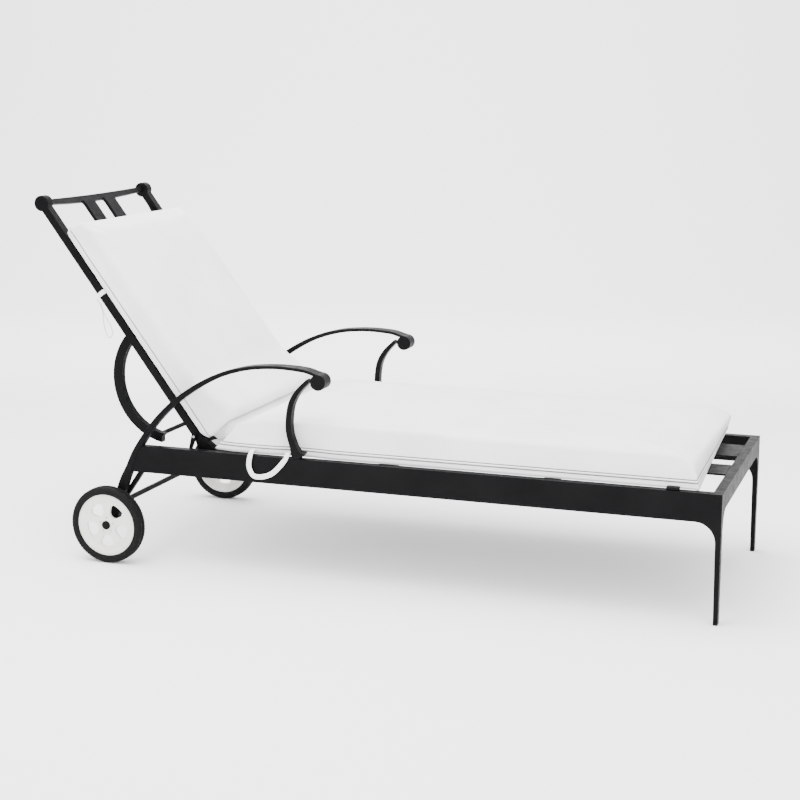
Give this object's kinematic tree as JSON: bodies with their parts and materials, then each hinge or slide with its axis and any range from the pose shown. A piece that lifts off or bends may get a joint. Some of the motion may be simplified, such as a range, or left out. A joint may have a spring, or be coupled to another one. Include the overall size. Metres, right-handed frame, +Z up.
{
  "type": "reclining sun lounger",
  "caption": "Wheeled sun lounger with curved strap arms, a rail frame, a ratchet-hinged back that reclines to nearly flat, and a mitred two-part cushion.",
  "frame": {"origin": "centre of the bounding box on the floor plane, with the back at its most upright position", "axes": "+X towards the foot end, +Y across to the far side, +Z up"},
  "size_m": [1.8, 0.7308, 0.9435],
  "materials": {
    "powder_coat": "matt near-black powder coat",
    "zinc_steel": "zinc plated",
    "black_plastic": "moulded",
    "rim_plastic": "moulded, satin",
    "tyre_rubber": "ribbed, matt",
    "canvas": "fine woven outdoor canvas",
    "tie_tape": "narrow woven tape"
  },
  "bodies": {
    "base": {"foot_rail": "powder_coat", "deck_slat_near": "powder_coat", "deck_slat_far": "powder_coat", "seat_cross_rail_foot": "powder_coat", "seat_cross_rail_mid": "powder_coat", "seat_cross_rail_head": "powder_coat", "stretcher_tube": "powder_coat", "seat_cushion": "canvas", "seat_tie": "tie_tape", "side_rail_near": "powder_coat", "side_rail_far": "powder_coat", "foot_glide_near": "black_plastic", "foot_glide_far": "black_plastic", "arm_near": "powder_coat", "arm_far": "powder_coat", "arm_post_near": "powder_coat", "arm_post_far": "powder_coat", "leg_brace_near": "powder_coat", "leg_brace_far": "powder_coat", "hinge_bracket_near": "powder_coat", "hinge_bracket_far": "powder_coat", "ratchet_near": "zinc_steel", "ratchet_far": "zinc_steel", "pivot_bolt_near": "zinc_steel", "pivot_bolt_far": "zinc_steel", "axle_bolt_near": "zinc_steel", "axle_bolt_far": "zinc_steel", "rail_pad_near": "black_plastic", "rail_pad_far": "black_plastic"},
    "back": {"crest_rail": "powder_coat", "back_cross_rail_upper": "powder_coat", "back_cross_rail_lower": "powder_coat", "crescent_crossbar": "powder_coat", "back_cushion": "canvas", "tie_cord": "tie_tape", "back_stile_near": "powder_coat", "back_stile_far": "powder_coat", "back_slat_near": "powder_coat", "back_slat_far": "powder_coat", "crescent_near": "powder_coat", "crescent_far": "powder_coat", "hinge_bush_near": "black_plastic", "hinge_bush_far": "black_plastic", "back_tie_band_near": "tie_tape", "back_tie_band_far": "tie_tape", "pawl_pin_near": "zinc_steel", "pawl_pin_far": "zinc_steel"},
    "pawl_near": {"pawl_near": "powder_coat"},
    "wheel_near": {"wheel_rim_near": "rim_plastic", "wheel_tyre_near": "tyre_rubber", "wheel_bush_near": "black_plastic", "hub_cap_near": "black_plastic"},
    "pawl_far": {"pawl_far": "powder_coat"},
    "wheel_far": {"wheel_rim_far": "rim_plastic", "wheel_tyre_far": "tyre_rubber", "wheel_bush_far": "black_plastic", "hub_cap_far": "black_plastic"}
  },
  "joints": [
    {"name": "back_recline", "type": "hinge", "parent": "base", "child": "back", "pos_m": [-0.41503, 0, 0.293], "axis": [0, -1, 0], "range_deg": [0, 51]},
    {"name": "pawl_release_near", "type": "hinge", "parent": "back", "child": "pawl_near", "pos_m": [-0.45224, -0.2916, 0.34011], "axis": [0, 1, 0], "range_deg": [0, 18], "stiffness_Nm_per_rad": 0.05, "springref_deg": -17.19},
    {"name": "pawl_release_far", "type": "hinge", "parent": "back", "child": "pawl_far", "pos_m": [-0.45224, 0.2916, 0.34011], "axis": [0, 1, 0], "range_deg": [0, 18], "stiffness_Nm_per_rad": 0.05, "springref_deg": -17.19},
    {"name": "wheel_spin_near", "type": "hinge", "parent": "base", "child": "wheel_near", "pos_m": [-0.67853, -0.3474, 0.1015], "axis": [0, 1, 0], "continuous": true},
    {"name": "wheel_spin_far", "type": "hinge", "parent": "base", "child": "wheel_far", "pos_m": [-0.67853, 0.3474, 0.1015], "axis": [0, 1, 0], "continuous": true}
  ]
}
